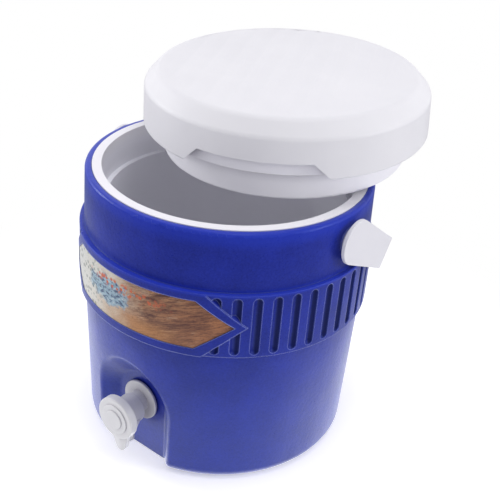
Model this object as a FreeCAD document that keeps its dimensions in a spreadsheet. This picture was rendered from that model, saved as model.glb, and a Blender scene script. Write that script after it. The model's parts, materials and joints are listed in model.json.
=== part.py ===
import FreeCAD, Part
import math
import os
import re
import Sketcher

# Insulated drinks jug with a lid, a carrying bail and a turning tap.
# Millimetres. +Z up, origin at the middle of the base, tap towards -Y.

Vector = FreeCAD.Vector
Rotation = FreeCAD.Rotation
Placement = FreeCAD.Placement

doc = FreeCAD.newDocument("beverage_dispenser")
sizes = doc.addObject("Spreadsheet::Sheet", "sizes")

# alias, value, what it is; lengths in mm, angles in degrees
driving_sizes = [
    ("body_height", 252.5, "base to mouth ring top"),
    ("foot_radius", 123.2, "shell at the base, before its rounding"),
    ("foot_round", 11.0, "rounding of the base edge"),
    ("wall_radius", 127.3, "shell just above and below the band"),
    ("rim_radius", 126.0, "shell at the mouth"),
    ("rim_round", 3.0, "rounding of the mouth edge"),
    ("rim_drop", 0.6, "shell mouth below the ring top"),
    ("shell_wall", 2.6, "shell thickness"),
    ("band_low", 140.5, "lower edge of the slotted band"),
    ("band_high", 200.5, "upper edge of the slotted band"),
    ("band_radius", 131.4, "outside of the band"),
    ("band_round", 0.9, "rounding of the band's edges"),
    ("slot_count", 50, "slot positions round the band"),
    ("slot_width", 8.1, "slot width at the band's surface"),
    ("slot_depth", 2.9, "slot depth"),
    ("slot_margin", 2.6, "slot end to band edge"),
    ("panel_radius", 132.5, "face of the raised label frame"),
    ("panel_corner_angle", 31.5, "frame's upper and lower corners, from the front"),
    ("panel_tip_angle", 47.0, "frame's pointed ends, from the front"),
    ("panel_border", 7.6, "frame border above and below the label"),
    ("label_corner_angle", 28.6, "label's corners, from the front"),
    ("label_tip_angle", 42.6, "label's pointed ends, from the front"),
    ("label_recess", 0.9, "label bed below the frame's face"),
    ("label_thickness", 0.35, "printed sheet"),
    ("label_gap", 0.3, "round the label's edge"),
    ("ring_outer", 120.0, "outer radius of the liner's mouth ring"),
    ("ring_inner", 111.9, "mouth radius"),
    ("ring_thickness", 3.4, "mouth ring"),
    ("ring_seat", 116.0, "inner radius of the shelf under the ring"),
    ("ring_gap", 0.3, "between ring edge and shell"),
    ("seat_thickness", 2.6, "shelf that the ring lies on"),
    ("liner_wall", 2.2, "liner thickness"),
    ("ledge_depth", 30.0, "step in the liner, below the ring top"),
    ("throat_radius", 111.0, "liner just above the step"),
    ("ledge_radius", 106.5, "liner just below the step"),
    ("liner_floor", 32.5, "inside floor above the base"),
    ("liner_floor_radius", 95.0, "inside radius at the floor"),
    ("liner_round", 12.0, "inside rounding at the floor"),
    ("foam_gap", 0.3, "foam to its neighbours"),
    ("plug_face_radius", 14.0, "foam filling plug's flange"),
    ("plug_face_thickness", 1.6, "foam filling plug's flange"),
    ("plug_stem_radius", 9.0, "foam filling plug's stem"),
    ("plug_fit", 0.1, "round the filling plug"),
    ("alcove_flat", 106.0, "flat face behind the tap, from the jug's axis"),
    ("alcove_radius", 27.5, "half width of the flat face"),
    ("alcove_slope", 50.0, "how far the alcove's sides lean outwards"),
    ("alcove_round", 5.0, "rounding of the alcove's edges"),
    ("tap_height", 55.5, "tap axis above the base"),
    ("washer_thickness", 1.2, "rubber washers"),
    ("washer_radius", 16.0, "rubber washers"),
    ("flange_radius", 19.0, "tap's wall flange"),
    ("flange_thickness", 2.8, "tap's wall flange"),
    ("tail_radius", 8.0, "tap's tail through the wall"),
    ("tail_bore", 5.5, "water way through the tail"),
    ("tail_gap", 0.2, "round the tail"),
    ("tail_past_nut", 2.0, "tail inside the nut's face"),
    ("barrel_radius", 10.0, "tap barrel"),
    ("barrel_length", 7.6, "flange to valve chamber"),
    ("valve_drop", 3.0, "valve chamber's axis below the tail's axis"),
    ("chamber_radius", 13.5, "valve chamber"),
    ("chamber_length", 15.8, "valve chamber"),
    ("chamber_back", 2.0, "wall behind the turning plug"),
    ("valve_bore", 10.0, "bore that the turning plug runs in"),
    ("valve_clearance", 0.05, "running clearance of the turning plug"),
    ("valve_wall", 2.6, "turning plug's wall"),
    ("port_radius", 4.2, "side port in the turning plug"),
    ("spout_drop", 33.0, "tap axis to spout end"),
    ("spout_radius", 6.8, "spout end"),
    ("spout_bore", 4.9, "water way in the spout's lower part"),
    ("spout_bore_depth", 13.0, "water way in the spout's lower part"),
    ("spout_straight", 5.0, "round nozzle at the spout's end"),
    ("spout_flat", 14.2, "spout, front to back"),
    ("ring_cord", 1.0, "o ring's cord radius"),
    ("knob_gap", 0.3, "knob to valve chamber"),
    ("knob_radius", 20.2, "knob's base disc"),
    ("knob_thickness", 7.3, "knob's base disc"),
    ("knob_edge_round", 1.2, "rounding of the disc's front edge"),
    ("knob_step_radius", 14.4, "middle step"),
    ("knob_face_radius", 9.2, "front step"),
    ("knob_step", 1.0, "height of each step"),
    ("knob_drive_radius", 4.5, "knob's spigot in the turning plug"),
    ("knob_drive_length", 3.4, "knob's spigot in the turning plug"),
    ("drive_gap", 0.1, "round the knob's spigot"),
    ("knob_tail_reach", 34.6, "knob axis to tail tip"),
    ("knob_tail_root", 15.4, "half width of the tail at the knob's axis"),
    ("knob_tail_tip", 6.2, "radius of the tail's rounded tip"),
    ("knob_tail_thickness", 3.5, "tail at its sides"),
    ("knob_tail_ridge", 1.5, "ridge down the middle of the tail"),
    ("knob_turn", 8.0, "tail's turn from straight down, towards +X"),
    ("liner_pad_radius", 20.0, "flat pad on the liner at the tap"),
    ("liner_pad_face", 93.2, "pad's inner face, from the jug's axis"),
    ("liner_pad_thickness", 7.0, "pad, inner to outer face"),
    ("nut_width", 27.0, "nut across flats"),
    ("nut_thickness", 7.5, "nut"),
    ("sleeve_wall", 2.2, "tube through the foam"),
    ("pivot_drop", 24.0, "bail pivot below the ring top"),
    ("pin_radius", 6.0, "bail pins"),
    ("pin_clearance", 0.05, "running clearance of the pins"),
    ("bush_radius", 9.0, "pivot bush in the wall"),
    ("bush_flange_radius", 12.5, "pivot bush flange"),
    ("bush_flange_thickness", 4.0, "pivot bush flange"),
    ("bush_depth", 9.6, "pivot bush behind its flange"),
    ("bail_gap", 0.1, "ear plates beyond the band's surface"),
    ("ear_gap", 0.3, "ear plate to bush flange"),
    ("ear_radius", 19.6, "rounded end of the ear plates"),
    ("bail_thickness", 3.2, "bail strap"),
    ("bail_bend", 62.5, "pivot to the bend in the strap"),
    ("bail_bend_angle", 33.0, "turn of the strap at the bend"),
    ("bail_bend_round", 9.0, "outer rounding of the bend"),
    ("bail_reach", 167.5, "pivot to the outside of the grip"),
    ("bail_end_width", 28.6, "strap width at the bend"),
    ("bail_grip_width", 24.0, "strap width at the grip"),
    ("bail_hang_angle", 30.7, "bail below horizontal when it hangs"),
    ("bail_back_gap", 3.5, "least room between the hanging grip and the band"),
    ("clip_radius", 9.0, "clips on the pins"),
    ("clip_thickness", 1.0, "clips on the pins"),
    ("clip_gap", 0.2, "clip to bush end"),
    ("groove_depth", 1.0, "groove for the clip"),
    ("pin_past_clip", 1.2, "pin end beyond the clip"),
    ("lid_radius", 127.2, "lid skirt"),
    ("lid_skirt_wall", 2.5, "lid shell thickness"),
    ("lid_ridge_radius", 125.7, "where the skirt meets the shoulder"),
    ("lid_ridge_height", 34.8, "skirt, lower edge to shoulder"),
    ("lid_top_radius", 113.6, "flat top"),
    ("lid_top_height", 47.6, "skirt's lower edge to the top"),
    ("lid_ridge_round", 7.0, "rounding between skirt and shoulder"),
    ("lid_top_round", 9.0, "rounding between shoulder and top"),
    ("lid_web_height", 18.0, "web inside the lid above the skirt's lower edge"),
    ("lid_web_opening", 112.0, "foam opening in the web"),
    ("notch_angle", 24.3, "middle of the finger notch, from the front"),
    ("notch_low_angle", 29.0, "half of the notch at the skirt's edge"),
    ("notch_high_angle", 22.0, "half of the notch at its top"),
    ("notch_height", 14.3, "finger notch"),
    ("pan_radius", 109.0, "lid plug that goes into the mouth"),
    ("pan_depth", 25.7, "lid plug below the skirt's edge"),
    ("pan_wall", 2.2, "lid pan thickness"),
    ("pan_flange_radius", 118.0, "wall of the pan above its flange"),
    ("pan_flange_height", 1.0, "flange above the skirt's edge"),
    ("pan_round", 3.0, "rounding of the plug's lower edge"),
    ("seal_inner", 110.2, "lid seal"),
    ("seal_outer", 115.4, "lid seal"),
    ("seal_thickness", 1.5, "lid seal"),
    ("lid_back", 64.9, "lid's middle behind the jug's axis, as it lies ajar"),
    ("lid_side", 8.8, "lid's middle to the right of the jug's axis"),
    ("lid_tilt_back", 2.33, "lid's rise towards the back"),
    ("lid_tilt_side", 1.0, "lid's rise towards the right"),
    ("lid_rest_gap", 0.3, "lid plug above the mouth ring where it is nearest"),
]
for row, (alias, value, note) in enumerate(driving_sizes, start=1):
    sizes.set("A%d" % row, note)
    sizes.set("B%d" % row, str(value))
    sizes.setAlias("B%d" % row, alias)
doc.recompute()


def tied(text):
    """Put the sheet's name before each size that an expression uses."""
    return re.sub(r"\b[a-z]+(?:_[a-z]+)+\b", lambda found: "sizes." + found.group(0), text)


def num(text):
    """Work out an expression of the sheet's sizes."""
    return float(sizes.evalExpression(tied(text)))


def bind(thing, path, text):
    thing.setExpression(path, tied(text))


def origin_feature(body, role):
    return [f for f in body.Origin.OriginFeatures if f.Role == role][0]


def new_body(label):
    body = doc.addObject("PartDesign::Body", label)
    body.Label = label
    return body


def new_sketch(body, label, plane):
    sketch = body.newObject("Sketcher::SketchObject", label)
    sketch.AttachmentSupport = (origin_feature(body, plane), [""])
    sketch.MapMode = "FlatFace"
    return sketch


def hold_point(sketch, line, end, x, y):
    """Tie one end of a sketch line to two expressions."""
    for kind, text, axis in (("DistanceX", x, -2), ("DistanceY", y, -1)):
        if text == "0":
            sketch.addConstraint(Sketcher.Constraint("PointOnObject", line, end, axis))
        else:
            index = sketch.addConstraint(Sketcher.Constraint(kind, -1, 1, line, end, num(text)))
            bind(sketch, "Constraints[%d]" % index, text)


def draw_outline(sketch, corners):
    """A closed outline of straight lines through tied corners."""
    first = sketch.GeometryCount
    count = len(corners)
    spots = [Vector(num(x), num(y), 0) for x, y in corners]
    for i in range(count):
        sketch.addGeometry(Part.LineSegment(spots[i], spots[(i + 1) % count]))
    for i, (x, y) in enumerate(corners):
        sketch.addConstraint(Sketcher.Constraint("Coincident", first + i, 2, first + (i + 1) % count, 1))
        hold_point(sketch, first + i, 1, x, y)


def revolve(body, label, corners):
    """Turn an outline of (radius, height) corners round the body's own Z axis."""
    sketch = new_sketch(body, label + "_profile", "XZ_Plane")
    draw_outline(sketch, corners)
    turned = body.newObject("PartDesign::Revolution", label)
    turned.Profile = sketch
    turned.ReferenceAxis = (sketch, ["V_Axis"])
    turned.Angle = 360
    doc.recompute()
    return turned


def pad(body, label, plane, corners, length, both_ways=False):
    sketch = new_sketch(body, label + "_outline", plane)
    draw_outline(sketch, corners)
    grown = body.newObject("PartDesign::Pad", label)
    grown.Profile = sketch
    grown.Midplane = both_ways
    bind(grown, "Length", length)
    doc.recompute()
    return grown


def ring_edges(shape, radius, height):
    """Names of the full circles of a radius at a height."""
    names = []
    for i, edge in enumerate(shape.Edges, start=1):
        curve = edge.Curve
        if not isinstance(curve, Part.Circle) or abs(curve.Radius - radius) > 0.02:
            continue
        if abs(curve.Center.z - height) < 0.02:
            names.append("Edge%d" % i)
    return names


def round_rings(body, label, radius, spots):
    """Round the circles at (radius, height) spots of a turned body."""
    base = body.Tip
    names = []
    for r, z in spots:
        names += ring_edges(base.Shape, num(r), num(z))
    rounding = body.newObject("PartDesign::Fillet", label)
    rounding.Base = (base, names)
    bind(rounding, "Radius", radius)
    doc.recompute()
    return rounding


def along_tap(distance="0", drop="0"):
    """A placement whose own Z axis runs out along the tap, from a distance and a drop below it."""
    return Placement(Vector(0, -num(distance), num("tap_height - (%s)" % drop)),
                     Rotation(Vector(1, 0, 0), 90))


def cylinder(label, radius, height, placement):
    rod = doc.addObject("Part::Cylinder", label)
    bind(rod, "Radius", radius)
    bind(rod, "Height", height)
    rod.Placement = placement
    return rod


def fuse(label, pieces):
    joined = doc.addObject("Part::MultiFuse", label)
    joined.Shapes = pieces
    joined.Refine = True
    doc.recompute()
    return joined


def cut(label, base, tools):
    """Cut one or more tools out of a base."""
    whole = tools[0] if len(tools) == 1 else fuse(label + "_tools", tools)
    rest = doc.addObject("Part::Cut", label)
    rest.Base = base
    rest.Tool = whole
    doc.recompute()
    return rest


def common(label, first, second):
    shared = doc.addObject("Part::Common", label)
    shared.Base = first
    shared.Tool = second
    doc.recompute()
    return shared


# The jug's outermost surface, and the wall left behind the slots and the label
outermost = "max(band_radius; wall_radius)"
core_radius = "min(wall_radius; band_radius - slot_depth; panel_radius - label_recess)"


# The bail's ears run just clear of the band, and the bushes fill the room behind them
ear_inner = outermost + " + bail_gap"
flange_face = ear_inner + " - ear_gap - bush_flange_thickness"


def along_pivot(side, distance="0"):
    """A placement whose own Z axis runs out along a pivot, from a distance."""
    way = 1 if side == "right" else -1
    return Placement(Vector(way * num(distance), 0, num("body_height - pivot_drop")),
                     Rotation(Vector(0, 1, 0), way * 90))


# Alcove round the tap: a flat arch whose sides lean outwards
def alcove_tool(label, offset):
    """The alcove's space, grown by an offset."""
    near = "(alcove_flat - (%s))" % offset
    near_radius = ("(alcove_radius - (%s) * tan(alcove_slope) + (%s) / cos(alcove_slope))"
                   % (offset, offset))
    depth = "(%s - alcove_flat + (%s))" % (outermost, offset)
    far_radius = "(%s + %s * tan(alcove_slope))" % (near_radius, depth)
    arch = doc.addObject("Part::Cone", label + "_arch")
    bind(arch, "Radius1", near_radius)
    bind(arch, "Radius2", far_radius)
    bind(arch, "Height", depth)
    arch.Placement = along_tap(near)
    legs = doc.addObject("Part::Wedge", label + "_legs")
    legs_sizes = {
        "Xmin": "-" + far_radius, "Xmax": far_radius,
        "X2min": "-" + near_radius, "X2max": near_radius,
        "Ymin": "-(%s + %s)" % (near, depth), "Ymax": "-" + near,
        "Zmin": "-foot_round", "Zmax": "tap_height",
        "Z2min": "-foot_round", "Z2max": "tap_height",
    }
    for path, text in legs_sizes.items():
        bind(legs, path, text)
    return fuse(label, [arch, legs])


# Curved plates that follow the band: label frame, label bed, label
def curved_plate(label, inner, outer, margin, corner_angle, tip_angle, grow="0"):
    """A hexagon, pointed at both ends, cut from a ring between two radii."""
    low = "band_low + (%s) - (%s)" % (margin, grow)
    high = "band_high - (%s) + (%s)" % (margin, grow)
    middle = "(band_low + band_high) / 2"
    corner = "(panel_radius * sin(%s) + (%s))" % (corner_angle, grow)
    tip = "(panel_radius * sin(%s) + (%s))" % (tip_angle, grow)
    ring = new_body(label + "_ring")
    revolve(ring, label + "_turn", [(inner, low), (outer, low), (outer, high), (inner, high)])
    hexagon = new_body(label + "_hexagon")
    pad(hexagon, label + "_prism", "XZ_Plane",
        [("-" + corner, low), (corner, low), (tip, middle), (corner, high), ("-" + corner, high),
         ("-" + tip, middle)], "panel_radius + band_round")
    return common(label, ring, hexagon)


def shell_slots(body):
    """Upright round-bottomed slots, all round the band."""
    # a slot is the part of an upright capsule that lies inside the band
    capsule = "((slot_width / 2)^2 + slot_depth^2) / (2 * slot_depth)"
    axis = "band_radius + %s - slot_depth" % capsule
    low = "band_low + slot_margin"
    high = "band_high - slot_margin"
    a, r, z0, z1 = num(axis), num(capsule), num(low), num(high)
    sketch = new_sketch(body, "slot_profile", "YZ_Plane")
    sketch.addGeometry(Part.LineSegment(Vector(a, z0, 0), Vector(a, z1, 0)), True)
    sketch.addGeometry(Part.LineSegment(Vector(a, z0, 0), Vector(a, z1, 0)))
    up = Vector(0, 0, 1)
    top = Part.Circle(Vector(a, z1 - r, 0), up, r)
    bottom = Part.Circle(Vector(a, z0 + r, 0), up, r)
    sketch.addGeometry(Part.ArcOfCircle(top, 0, math.pi / 2))
    sketch.addGeometry(Part.LineSegment(Vector(a + r, z0 + r, 0), Vector(a + r, z1 - r, 0)))
    sketch.addGeometry(Part.ArcOfCircle(bottom, 1.5 * math.pi, 2 * math.pi))
    for line in (0, 1):
        hold_point(sketch, line, 1, axis, low)
        hold_point(sketch, line, 2, axis, high)
    hold_point(sketch, 2, 3, axis, high + " - " + capsule)
    hold_point(sketch, 4, 3, axis, low + " + " + capsule)
    for first, end, second, other in ((2, 2, 1, 2), (4, 1, 1, 1), (3, 2, 2, 1), (3, 1, 4, 2)):
        sketch.addConstraint(Sketcher.Constraint("Coincident", first, end, second, other))
    for end, text in ((1, low + " + " + capsule), (2, high + " - " + capsule)):
        index = sketch.addConstraint(Sketcher.Constraint("DistanceY", -1, 1, 3, end, num(text)))
        bind(sketch, "Constraints[%d]" % index, text)
    groove = body.newObject("PartDesign::Groove", "slot")
    groove.Profile = sketch
    groove.ReferenceAxis = (sketch, ["Axis0"])
    groove.Angle = 360
    doc.recompute()
    around = body.newObject("PartDesign::PolarPattern", "slots")
    around.Originals = [groove]
    around.Axis = (origin_feature(body, "Z_Axis"), [""])
    around.Angle = 360
    bind(around, "Occurrences", "slot_count")
    body.Tip = around
    doc.recompute()


def edges_on_alcove(shape):
    """Edges where the alcove meets the wall, and where its sides meet its flat face."""
    slope = math.radians(num("alcove_slope"))
    flat = num("alcove_flat")
    picked = []
    for i, edge in enumerate(shape.Edges, start=1):
        middle = edge.valueAt((edge.FirstParameter + edge.LastParameter) / 2)
        out = -middle.y - flat
        lift = max(0.0, middle.z - num("tap_height"))
        reach = num("alcove_radius") + out * math.tan(slope)
        on_side = abs(math.hypot(middle.x, lift) - reach) < 0.05
        between = -0.01 < out < num(outermost) - flat
        if on_side and between and middle.z > num("foot_round") * 0.1 and edge.Length > 1:
            tangent = edge.tangentAt((edge.FirstParameter + edge.LastParameter) / 2)
            leaning = abs(tangent.y) > 0.5
            if not leaning:
                picked.append(i)
    return picked


def make_outer_shell():
    form = new_body("shell_form")
    rim_top = "body_height - rim_drop"
    revolve(form, "shell_turn", [
        ("0", "0"), ("foot_radius", "0"), ("wall_radius", "band_low"),
        ("band_radius", "band_low"), ("band_radius", "band_high"),
        ("wall_radius", "band_high"), ("rim_radius", rim_top), ("0", rim_top)])
    round_rings(form, "foot_rounding", "foot_round", [("foot_radius", "0")])
    round_rings(form, "rim_rounding", "rim_round", [("rim_radius", rim_top)])
    round_rings(form, "band_rounding", "band_round",
                [("band_radius", "band_low"), ("band_radius", "band_high")])
    shell_slots(form)
    hollowed = cut("shell_with_alcove", form, [alcove_tool("alcove", "0")])
    softened = doc.addObject("Part::Fillet", "shell_softened")
    softened.Base = hollowed
    softened.Edges = [(i, num("alcove_round"), num("alcove_round"))
                      for i in edges_on_alcove(hollowed.Shape)]
    doc.recompute()
    frame = curved_plate("label_frame", core_radius + " - shell_wall / 2", "panel_radius", "0",
                         "panel_corner_angle", "panel_tip_angle")
    land_foot = "(min(rim_radius; %s) - shell_wall / 2)" % flange_face
    lands = [cylinder("pivot_land_" + side, "bush_flange_radius",
                      "%s - %s" % (flange_face, land_foot), along_pivot(side, land_foot))
             for side in ("right", "left")]
    solid = fuse("shell_solid", [softened, frame] + lands)
    bed = curved_plate("label_bed", "panel_radius - label_recess",
                       "max(panel_radius; band_radius) + label_recess",
                       "panel_border", "label_corner_angle", "label_tip_angle", "label_gap")
    seat_top = "body_height - ring_thickness"
    cavity_form = new_body("shell_cavity_form")
    revolve(cavity_form, "cavity_turn", [
        ("0", "shell_wall"), ("foot_radius - shell_wall", "shell_wall"),
        (core_radius + " - shell_wall", "band_low"), (core_radius + " - shell_wall", "band_high"),
        ("rim_radius - shell_wall", seat_top + " - seat_thickness"),
        ("ring_seat", seat_top + " - seat_thickness"), ("ring_seat", seat_top),
        ("ring_outer + ring_gap", seat_top), ("ring_outer + ring_gap", "body_height"),
        ("0", "body_height")])
    round_rings(cavity_form, "cavity_rounding", "foot_round - shell_wall",
                [("foot_radius - shell_wall", "shell_wall")])
    cavity = cut("shell_cavity", cavity_form, [alcove_tool("alcove_bulge", "shell_wall")])
    holes = [
        cylinder("tail_hole", "tail_radius + tail_gap", "wall_radius", along_tap()),
        cylinder("filling_hole", "plug_stem_radius + plug_fit", "foot_round", Placement()),
        cylinder("filling_counterbore", "plug_face_radius + plug_fit", "plug_face_thickness",
                 Placement()),
    ]
    for side in ("right", "left"):
        holes.append(cylinder("bush_hole_" + side, "bush_radius + plug_fit", outermost,
                              along_pivot(side)))
        holes.append(cylinder("bush_room_" + side, "bush_flange_radius + ear_gap",
                              "bush_flange_thickness + ear_gap", along_pivot(side, flange_face)))
    return cut("outer_shell", solid, [bed, cavity] + holes)


def make_label():
    bed = "panel_radius - label_recess"
    return curved_plate("label_sheet", bed, bed + " + label_thickness", "panel_border",
                        "label_corner_angle", "label_tip_angle")


def make_inner_liner():
    liner = new_body("liner_form")
    ledge = "body_height - ledge_depth"
    under_ring = "body_height - ring_thickness"
    revolve(liner, "liner_turn", [
        ("0", "liner_floor"), ("liner_floor_radius", "liner_floor"), ("ledge_radius", ledge),
        ("throat_radius", ledge), ("ring_inner", "body_height"), ("ring_outer", "body_height"),
        ("ring_outer", under_ring), ("ring_inner + liner_wall", under_ring),
        ("throat_radius + liner_wall", ledge + " - liner_wall"),
        ("ledge_radius + liner_wall", ledge + " - liner_wall"),
        ("liner_floor_radius + liner_wall", "liner_floor - liner_wall"),
        ("0", "liner_floor - liner_wall")])
    round_rings(liner, "liner_inside_rounding", "liner_round",
                [("liner_floor_radius", "liner_floor")])
    round_rings(liner, "liner_outside_rounding", "liner_round + liner_wall",
                [("liner_floor_radius + liner_wall", "liner_floor - liner_wall")])
    pad_disc = cylinder("liner_pad", "liner_pad_radius", "liner_pad_thickness",
                        along_tap("liner_pad_face"))
    hole = cylinder("liner_hole", "tail_radius + tail_gap", "wall_radius", along_tap())
    return cut("inner_liner", fuse("liner_with_pad", [liner, pad_disc]), [hole])


def make_body_foam():
    foam = new_body("foam_form")
    gap = "shell_wall + foam_gap"
    top = "body_height - ring_thickness - seat_thickness - foam_gap"
    skin = "liner_wall + foam_gap"
    ledge = "body_height - ledge_depth"
    revolve(foam, "foam_turn", [
        ("0", gap), ("foot_radius - (%s)" % gap, gap),
        ("%s - (%s)" % (core_radius, gap), "band_low"),
        ("%s - (%s)" % (core_radius, gap), "band_high"), ("rim_radius - (%s)" % gap, top),
        ("ring_inner + " + skin, top),
        ("throat_radius + " + skin, "%s - (%s)" % (ledge, skin)),
        ("ledge_radius + " + skin, "%s - (%s)" % (ledge, skin)),
        ("liner_floor_radius + " + skin, "liner_floor - (%s)" % skin),
        ("0", "liner_floor - (%s)" % skin)])
    round_rings(foam, "foam_rounding", "foot_round - shell_wall",
                [("foot_radius - (%s)" % gap, gap)])
    tools = [
        alcove_tool("foam_bulge", gap),
        cylinder("foam_sleeve_hole", "tail_radius + tail_gap + sleeve_wall + foam_gap",
                 "wall_radius", along_tap()),
        cylinder("foam_pad_hole", "liner_pad_radius + foam_gap",
                 "liner_pad_face + liner_pad_thickness + foam_gap", along_tap()),
        cylinder("foam_plug_hole", "plug_stem_radius + foam_gap", "foot_round + foam_gap",
                 Placement()),
    ]
    for side in ("right", "left"):
        tools.append(cylinder("foam_pivot_hole_" + side, "bush_flange_radius", outermost,
                              along_pivot(side)))
    return cut("body_foam", foam, tools)


def make_filling_plug():
    plug = new_body("foam_fill_plug")
    revolve(plug, "plug_turn", [
        ("0", "0"), ("plug_face_radius", "0"), ("plug_face_radius", "plug_face_thickness"),
        ("plug_stem_radius", "plug_face_thickness"), ("plug_stem_radius", "foot_round - foam_gap"),
        ("0", "foot_round - foam_gap")])
    return plug


# Tap. Its bodies are turned about their own Z axis, measured out from the jug's axis.
def tap_stations():
    """Distances along the tap, from the jug's axis."""
    at = {}
    at["flange"] = "alcove_flat + washer_thickness"
    at["barrel"] = at["flange"] + " + flange_thickness"
    at["chamber"] = at["barrel"] + " + barrel_length"
    at["bore"] = at["chamber"] + " + chamber_back"
    at["front"] = at["chamber"] + " + chamber_length"
    at["knob"] = at["front"] + " + knob_gap"
    at["inner_washer"] = "liner_pad_face - washer_thickness"
    at["nut"] = at["inner_washer"] + " - nut_thickness"
    at["tail"] = at["nut"] + " - tail_past_nut"
    return at


def make_tap_body(at):
    turned = new_body("tap_turned")
    revolve(turned, "tap_turn", [
        ("0", at["tail"]), ("tail_radius", at["tail"]), ("tail_radius", at["flange"]),
        ("flange_radius", at["flange"]), ("flange_radius", at["barrel"]),
        ("barrel_radius", at["barrel"]), ("barrel_radius", at["bore"]), ("0", at["bore"])])
    round_rings(turned, "flange_rounding", "flange_thickness / 3",
                [("flange_radius", at["barrel"]), ("flange_radius", at["flange"])])
    turned.Placement = along_tap()
    chamber = cylinder("valve_chamber", "chamber_radius", "chamber_length",
                       along_tap(at["chamber"], "valve_drop"))
    # spout: a funnel, flat in front and behind, that ends in a short round nozzle
    middle = num("(%s + %s) / 2" % (at["chamber"], at["front"]))
    end = Placement(Vector(0, -middle, num("tap_height - spout_drop")), Rotation())
    straight_end = Placement(Vector(0, -middle, num("tap_height - spout_drop + spout_straight")),
                             Rotation())
    funnel = doc.addObject("Part::Cone", "spout_funnel")
    bind(funnel, "Radius1", "spout_radius")
    bind(funnel, "Radius2", "chamber_radius")
    bind(funnel, "Height", "spout_drop - spout_straight - valve_drop - chamber_radius / 4")
    funnel.Placement = straight_end
    slab = doc.addObject("Part::Box", "spout_slab")
    bind(slab, "Length", "2 * chamber_radius")
    bind(slab, "Width", "spout_flat")
    bind(slab, "Height", "spout_drop")
    slab.Placement = Placement(Vector(num("-chamber_radius"), -middle - num("spout_flat / 2"),
                                      num("tap_height - spout_drop")), Rotation())
    nozzle = cylinder("spout_nozzle", "spout_radius", "spout_straight + flange_thickness", end)
    body = fuse("tap_solid", [turned, chamber, common("spout_form", funnel, slab), nozzle])
    valve_hole = cylinder("valve_hole", "valve_bore", "chamber_length",
                          along_tap(at["bore"], "valve_drop"))
    tail_hole = cylinder("tail_way", "tail_bore", at["bore"] + " - (%s) + tail_past_nut" % at["nut"],
                         along_tap(at["tail"]))
    water_way = cylinder("spout_way", "spout_bore", "spout_bore_depth", end)
    spout_port = cylinder("spout_port", "port_radius", "spout_drop - valve_drop", end)
    return cut("tap_body", body, [valve_hole, tail_hole, water_way, spout_port]), middle


def make_valve_plug(at, middle):
    plug = new_body("valve_form")
    outer = "valve_bore - valve_clearance"
    groove = at["front"] + " - 4 * ring_cord"
    revolve(plug, "valve_turn", [
        ("valve_bore - valve_clearance - valve_wall", at["bore"] + " + valve_clearance"),
        (outer, at["bore"] + " + valve_clearance"),
        (outer, groove), ("valve_bore - 2 * ring_cord", groove),
        ("valve_bore - 2 * ring_cord", groove + " + 2 * ring_cord + drive_gap"),
        (outer, groove + " + 2 * ring_cord + drive_gap"), (outer, at["front"]),
        ("knob_drive_radius + drive_gap", at["front"]),
        ("knob_drive_radius + drive_gap", at["front"] + " - knob_drive_length"),
        ("0", at["front"] + " - knob_drive_length"),
        ("0", at["front"] + " - knob_drive_length - valve_wall"),
        ("valve_bore - valve_clearance - valve_wall",
         at["front"] + " - knob_drive_length - valve_wall")])
    plug.Placement = along_tap(drop="valve_drop")
    # shut, the port looks at the chamber's side; a quarter turn brings it over the spout
    port = cylinder("valve_port", "port_radius", "chamber_radius",
                    Placement(Vector(0, -middle, num("tap_height - valve_drop")),
                              Rotation(Vector(0, 1, 0), -90)))
    return cut("tap_valve_plug", plug, [port])


def make_o_ring(at):
    ring = doc.addObject("Part::Torus", "tap_o_ring")
    bind(ring, "Radius1", "valve_bore - ring_cord - valve_clearance")
    bind(ring, "Radius2", "ring_cord - valve_clearance")
    ring.Placement = along_tap(at["front"] + " - 3 * ring_cord + drive_gap / 2", "valve_drop")
    return ring


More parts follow.
